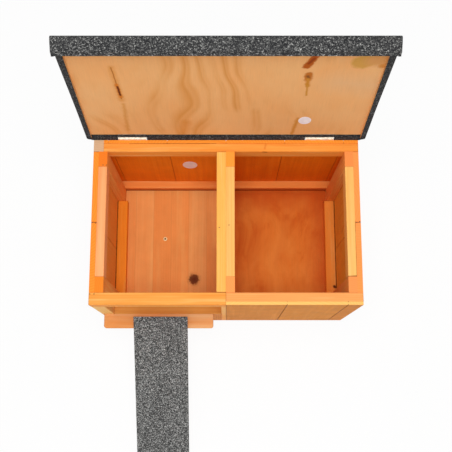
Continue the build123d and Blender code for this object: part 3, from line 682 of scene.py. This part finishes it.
def weatherFlap(name, look, flat, material):
    bm = bmesh.new()
    for left, right in look["runs"]:
        count = round((right - left) / look["step"])
        rows = []
        for step in range(count + 1):
            u = left + (right - left) * step / count
            sheets = []
            for lift in (0.0, look["thick"]):
                row = []
                cornerShare = math.sqrt(min(1.0, (look["end"] - abs(u)) / look["corner"]))
                for place, (v, w) in enumerate(look["fall"]):
                    loose = place / (len(look["fall"]) - 1)
                    ripple = smoothNoise.noise(Vector((u * look["rippleScale"], v, 0)))
                    ripple = look["ripple"] * loose * ripple
                    fray = smoothNoise.noise(Vector((u * look["frayScale"], 7, 0)))
                    fray = look["fray"] * (loose == 1) * fray
                    fallen = look["fall"][0][0] + (v + fray - look["fall"][0][0]) * cornerShare
                    row.append(bm.verts.new(Vector((u, fallen, w + lift + ripple))))
                sheets.append(row)
            rows.append(sheets[0] + list(reversed(sheets[1])))  # once round the strip's section
        around = len(rows[0])
        for first, second in zip(rows, rows[1:]):
            for k in range(around):
                after = (k + 1) % around
                bm.faces.new((first[k], first[after], second[after], second[k]))
        bm.faces.new(rows[0])
        bm.faces.new(list(reversed(rows[-1])))
    bm.transform(flat)
    newPiece(name, bm, material, "lid", smooth=False)


lidFelt = feltFinish("lid_grit", lidFeltLook)
rampFelt = feltFinish("ramp_grit", rampFeltLook)
laidFelt("lid_felt_sheet", "lid_felt", lidFrame, lidFelt, "lid", lidFeltLook)
dress("lid_felt", lidFelt)
dress("ramp_felt", rampFelt)
weatherFlap("felt_weather_flap", weatherFlapLook, lidFrame, lidFelt)
print("felt laid")

steelLook = {"zinc": (240, 226, 206), "dull": (206, 190, 166), "rough": 0.4, "metal": 0.5}
bradLook = {"zinc": (150, 96, 50), "dull": (92, 52, 24), "rough": 0.5, "metal": 0.4}
brassLook = {"zinc": (255, 240, 190), "dull": (250, 222, 150), "rough": 0.4, "metal": 0.1}
stapleLook = {"zinc": (176, 176, 172), "dull": (128, 128, 126), "rough": 0.4, "metal": 0.5}


def metalFinish(name, look):
    material, tree, shader = newMaterial(name)
    point, normal = objectSpace(tree)
    spangle = noise(tree, point, 160.0, 3.0, 0.6)
    brush = noise(tree, vec(tree, "MULTIPLY", point, (0.05, 1, 1)), 900.0, 2.0, 0.5)
    mix = ramp(tree, spangle, [(0.35, 0.0), (0.65, 1.0)])
    colour = blend(tree, mix, linear(look["zinc"]), linear(look["dull"]))
    tree.links.new(colour, shader.inputs["Base Color"])
    shader.inputs["Metallic"].default_value = look["metal"]
    rough = ramp(tree, brush, [(0.2, look["rough"] - 0.1), (0.8, look["rough"] + 0.15)])
    tree.links.new(rough, shader.inputs["Roughness"])
    addBump(tree, shader, brush, 0.05 * mm)
    return material


zinc = metalFinish("zinc_plate", steelLook)
for side in ("left", "right"):
    for leaf in ("hinge_plate", "hinge_flap"):
        dress(side + "_" + leaf, zinc)
print("hinges dressed")

# fasteners: turned heads, bent wire staples


def turnedHead(bm, place, facing, profile, slotShare=0.0, slotDepth=0.0, turns=24):
    # the profile is (radius, height), from the outside in
    upright = Vector(facing).normalized()
    across = upright.orthogonal().normalized()
    beside = upright.cross(across)
    widest = max(radius for radius, height in profile)
    rings = []
    for radius, height in profile:
        ring = []
        for step in range(turns):
            angle = math.tau * step / turns
            narrow = min(abs(math.cos(angle)), abs(math.sin(angle))) * radius
            inSlot = slotShare and radius < 0.7 * widest and narrow < slotShare * widest
            rise = height - (slotDepth if inSlot else 0.0)
            spoke = across * math.cos(angle) + beside * math.sin(angle)
            ring.append(bm.verts.new(Vector(place) + spoke * radius + upright * rise))
        rings.append(ring)
    for outer, inner in zip(rings, rings[1:]):
        for step in range(turns):
            after = (step + 1) % turns
            bm.faces.new((outer[step], outer[after], inner[after], inner[step]))
    bm.faces.new(rings[-1])
    bm.faces.new(list(reversed(rings[0])))


def bentStaple(bm, place, along, facing, look):
    upright = Vector(facing).normalized()
    run = Vector(along).normalized()
    beside = upright.cross(run) * look["wide"] / 2
    half, wire, sunk, rise = look["crown"] / 2, look["wire"], look["sunk"], look["rise"]
    outer = [(-half, -sunk), (-half, rise - wire), (wire - half, rise),
             (half - wire, rise), (half, rise - wire), (half, -sunk)]
    inner = [(wire - half, -sunk), (wire - half, rise - 2 * wire), (1.6 * wire - half, rise - wire),
             (half - 1.6 * wire, rise - wire), (half - wire, rise - 2 * wire), (half - wire, -sunk)]
    sections = []
    for (a, b), (c, d) in zip(outer, inner):
        outside = Vector(place) + run * a + upright * b
        inside = Vector(place) + run * c + upright * d
        corners = (outside + beside, outside - beside, inside - beside, inside + beside)
        sections.append([bm.verts.new(corner) for corner in corners])
    for first, second in zip(sections, sections[1:]):
        for k in range(4):
            bm.faces.new((first[k], first[(k + 1) % 4], second[(k + 1) % 4], second[k]))
    bm.faces.new(list(reversed(sections[0])))
    bm.faces.new(sections[-1])


stapleShape = {"crown": 12 * mm, "wire": 0.7 * mm, "wide": 1.5 * mm, "sunk": 2 * mm, "rise": 0.9 * mm}
lidStaples = {"w": 24.2 * mm, "places": [(-0.4067, 0.5165), (-0.2797, 0.5176), (0.3999, 0.5145)]}
bm = bmesh.new()
underside = lidFrame.to_3x3() @ Vector((0, 0, 1))
for u, v in lidStaples["places"]:
    bentStaple(bm, lidFrame @ Vector((u, v, lidStaples["w"])), (1, 0, 0), underside, stapleShape)
newPiece("lid_staples", bm, metalFinish("staple_wire", stapleLook), "lid", smooth=False)
print("staples driven:", len(lidStaples["places"]))

hingeScrewLook = {"radius": 3.6 * mm, "height": 1.1 * mm, "sides": 14 * mm, "up": 12 * mm, "plate": 1.7 * mm}
bm = bmesh.new()
for side in ("left", "right"):
    low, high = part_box(side + "_hinge_plate")
    for share in (0.0, 0.5, 1.0):
        x = low.x + hingeScrewLook["sides"] + share * (high.x - low.x - 2 * hingeScrewLook["sides"])
        place = (x, low.y + hingeScrewLook["plate"], low.z + hingeScrewLook["up"])
        r, h = hingeScrewLook["radius"], hingeScrewLook["height"]
        profile = [(r, -0.3 * h), (r, 0.25 * h), (0.9 * r, 0.55 * h), (0.6 * r, 0.9 * h),
                   (0.4 * r, h), (0.2 * r, h), (0.08 * r, h)]
        turnedHead(bm, place, (0, 1, 0), profile, 0.17, 0.7 * h)
newPiece("hinge_screws", bm, zinc, "house")
print("hinge screws set")

floorScrewLook = {"place": (-0.2158, 0.0366, 0.015), "cup": 7.2 * mm, "head": 3.2 * mm}
bm = bmesh.new()
cup, head = floorScrewLook["cup"], floorScrewLook["head"]
turnedHead(bm, floorScrewLook["place"], (0, 0, 1), [
    (cup, -0.2 * mm), (cup, 0.8 * mm), (0.9 * cup, 1.7 * mm), (0.7 * cup, 2.0 * mm),
    (0.55 * cup, 1.5 * mm), (0.47 * cup, 0.4 * mm)])
newPiece("floor_screw_cup", bm, metalFinish("brass_cup", brassLook), "house")
bm = bmesh.new()
turnedHead(bm, floorScrewLook["place"], (0, 0, 1), [
    (head, 0.3 * mm), (head, 1.0 * mm), (0.7 * head, 1.4 * mm), (0.4 * head, 1.5 * mm),
    (0.15 * head, 1.5 * mm)], 0.2, 0.8 * mm)
newPiece("floor_screw", bm, metalFinish("screw_head", bradLook), "house")
print("floor screw set")

bradShape = {"radius": 1.7 * mm, "height": 0.35 * mm, "stray": 3}
bradPlaces = {  # on the rim, on the outside of the walls
    (0, 0, 1): [(x, y, 0.49) for x, y in (
        (-0.0198, -0.0203), (0.0089, -0.013), (-0.397, -0.0054), (-0.3875, -0.007), (-0.3704, 0.1715),
        (-0.3605, 0.1715), (0.3875, -0.0054), (0.3965, -0.0021), (-0.3965, -0.2184), (-0.3844, -0.2184))],
    (-1, 0, 0): [(-0.4, y, z) for y in (-0.19, -0.165, -0.11, 0.0, 0.075, 0.165, 0.19)
                 for z in (0.033, 0.464)],
    (1, 0, 0): [(0.4, y, z) for y in (-0.19, -0.165, -0.075, 0.0, 0.11, 0.165, 0.19)
                for z in (0.033, 0.464)],
    (0, 1, 0): [(x, 0.25, z) for x in (-0.31, -0.22, -0.13, -0.05, 0.05, 0.13, 0.22, 0.31)
                for z in (0.026, 0.45)],
    (0, -1, 0): [(x, -0.25, z) for x in (0.016, 0.1, 0.16, 0.2, 0.28, 0.34, 0.385)
                 for z in (0.026, 0.464)],
}
bradDice = random.Random(5)
bm = bmesh.new()
r, h, stray = bradShape["radius"], bradShape["height"], bradShape["stray"]
bradProfile = [(r, -0.4 * h), (r, 0.3 * h), (0.8 * r, h), (0.3 * r, h)]
for facing, places in bradPlaces.items():
    for place in places:
        jitter = Vector([0.0 if part else bradDice.uniform(-stray, stray) * mm * (facing[2] == 0)
                         for part in facing])
        turnedHead(bm, Vector(place) + jitter, facing, bradProfile, turns=12)
newPiece("brad_heads", bm, metalFinish("brad_steel", bradLook), "house")
print("brads driven:", sum(len(places) for places in bradPlaces.values()))

stickerLook = {
    "paper": (246, 240, 242), "shade": (226, 216, 222), "thick": 0.35 * mm,
    "lid": {"u": 0.2282, "v": 0.1105, "w": -2.8 * mm, "half": (18.5 * mm, 22.5 * mm)},
    "wall": {"place": (-0.1194, 0.24, 0.255), "half": (24 * mm, 40 * mm)},
}


def paperFinish(name, look):
    material, tree, shader = newMaterial(name)
    point, normal = objectSpace(tree)
    pulp = noise(tree, point, 700.0, 4.0, 0.7)
    cloud = noise(tree, point, 60.0, 3.0, 0.5)
    clouded = ramp(tree, cloud, [(0.35, 0.0), (0.7, 0.6)])
    colour = blend(tree, clouded, linear(look["paper"]), linear(look["shade"]))
    colour = blend(tree, 0.08, colour, ramp(tree, pulp, [(0.3, 0.5), (0.7, 1.0)]), "MULTIPLY")
    tree.links.new(colour, shader.inputs["Base Color"])
    tree.links.new(ramp(tree, pulp, [(0.2, 0.4), (0.8, 0.6)]), shader.inputs["Roughness"])
    addBump(tree, shader, pulp, 0.05 * mm)
    return material


def ovalSticker(bm, place, across, up, half, thick, turns=48):
    across, up = Vector(across).normalized(), Vector(up).normalized()
    facing = across.cross(up)
    profile = [(1.0, 0.0), (1.0, 0.7), (0.985, 1.0), (0.9, 0.8), (0.6, 0.9), (0.25, 1.0)]
    rings = []
    for share, rise in profile:
        ring = []
        for step in range(turns):
            angle = math.tau * step / turns
            spoke = across * half[0] * math.cos(angle) + up * half[1] * math.sin(angle)
            ring.append(bm.verts.new(Vector(place) + spoke * share + facing * rise * thick))
        rings.append(ring)
    for outer, inner in zip(rings, rings[1:]):
        for step in range(turns):
            after = (step + 1) % turns
            bm.faces.new((outer[step], outer[after], inner[after], inner[step]))
    bm.faces.new(rings[-1])
    bm.faces.new(list(reversed(rings[0])))


paper = paperFinish("sticker_paper", stickerLook)
onLid = stickerLook["lid"]
bm = bmesh.new()
ovalSticker(bm, lidFrame @ Vector((onLid["u"], onLid["v"], onLid["w"])), (1, 0, 0),
            lidFrame.to_3x3() @ Vector((0, 1, 0)), onLid["half"], stickerLook["thick"])
newPiece("lid_sticker", bm, paper, "lid")
bm = bmesh.new()
onWall = stickerLook["wall"]
ovalSticker(bm, onWall["place"], (1, 0, 0), (0, 0, 1), onWall["half"], stickerLook["thick"])
newPiece("wall_sticker", bm, paper, "house")
print("bare stickers set")

# stage, light and camera

stageLook = {"size": 40.0, "colour": (0.92, 0.92, 0.92, 1.0), "whiteShare": 0.93}
floorMesh = bpy.data.meshes.new("studio_floor")
half = stageLook["size"] / 2
floorCorners = [(-half, -half, 0), (half, -half, 0), (half, half, 0), (-half, half, 0)]
floorMesh.from_pydata(floorCorners, [], [(0, 1, 2, 3)])
studioFloor = bpy.data.objects.new("studio_floor", floorMesh)
studioFloor.location.z = -0.5 * mm
scene.collection.objects.link(studioFloor)


def whiteForViewers(tree):  # 1 for camera, glossy and transmission rays
    path = tree.nodes.new("ShaderNodeLightPath")
    seen = calc(tree, "MAXIMUM", path.outputs["Is Camera Ray"], path.outputs["Is Glossy Ray"])
    return calc(tree, "MAXIMUM", seen, path.outputs["Is Transmission Ray"])


floorMaterial, tree, shader = newMaterial("studio_paper")
shader.inputs["Base Color"].default_value = stageLook["colour"]
shader.inputs["Roughness"].default_value = 0.9
glow = tree.nodes.new("ShaderNodeEmission")
glow.inputs["Strength"].default_value = 1.0
mixer = tree.nodes.new("ShaderNodeMixShader")
tree.links.new(calc(tree, "MULTIPLY", whiteForViewers(tree), stageLook["whiteShare"]), mixer.inputs[0])
tree.links.new(shader.outputs[0], mixer.inputs[1])
tree.links.new(glow.outputs[0], mixer.inputs[2])
tree.links.new(mixer.outputs[0], tree.nodes["Material Output"].inputs["Surface"])
floorMesh.materials.append(floorMaterial)

worldLook = {"ambient": 0.42}
world = bpy.data.worlds.new("studio")
scene.world = world
world.use_nodes = True
tree = world.node_tree
tree.nodes.clear()
dim = tree.nodes.new("ShaderNodeBackground")
dim.inputs["Strength"].default_value = worldLook["ambient"]
white = tree.nodes.new("ShaderNodeBackground")
white.inputs["Strength"].default_value = 1.0
for sky in (dim, white):
    sky.inputs["Color"].default_value = (1, 1, 1, 1)
mixer = tree.nodes.new("ShaderNodeMixShader")
tree.links.new(whiteForViewers(tree), mixer.inputs[0])
tree.links.new(dim.outputs[0], mixer.inputs[1])
tree.links.new(white.outputs[0], mixer.inputs[2])
tree.links.new(mixer.outputs[0], tree.nodes.new("ShaderNodeOutputWorld").inputs["Surface"])

lampLook = {
    "overhead": {"place": (0.05, -0.3, 3.4), "size": 1.3, "power": 58.0},
    "front_fill": {"place": (-0.5, -3.2, 1.7), "size": 2.4, "power": 25.0},
}
lampAim = Vector((0.0, 0.0, 0.35))
for lampName, look in lampLook.items():
    lampData = bpy.data.lights.new(lampName, "AREA")
    lampData.shape = "SQUARE"
    lampData.size = look["size"]
    lampData.energy = look["power"]
    lamp = bpy.data.objects.new(lampName, lampData)
    lamp.location = look["place"]
    lamp.rotation_euler = (lampAim - lamp.location).to_track_quat("-Z", "Y").to_euler()
    lamp.visible_camera = False
    scene.collection.objects.link(lamp)

cameraLook = {"place": (0.0, -0.506, 2.821), "tilt": 11.87, "lens": 64.01}
cameraData = bpy.data.cameras.new("photo_camera")
cameraData.lens = cameraLook["lens"]
cameraData.sensor_width = 36.0
camera = bpy.data.objects.new("photo_camera", cameraData)
camera.location = cameraLook["place"]
camera.rotation_euler = (math.radians(cameraLook["tilt"]), 0, 0)
scene.collection.objects.link(camera)
scene.camera = camera
scene.view_settings.view_transform = "Standard"
print("stage, light and camera set")
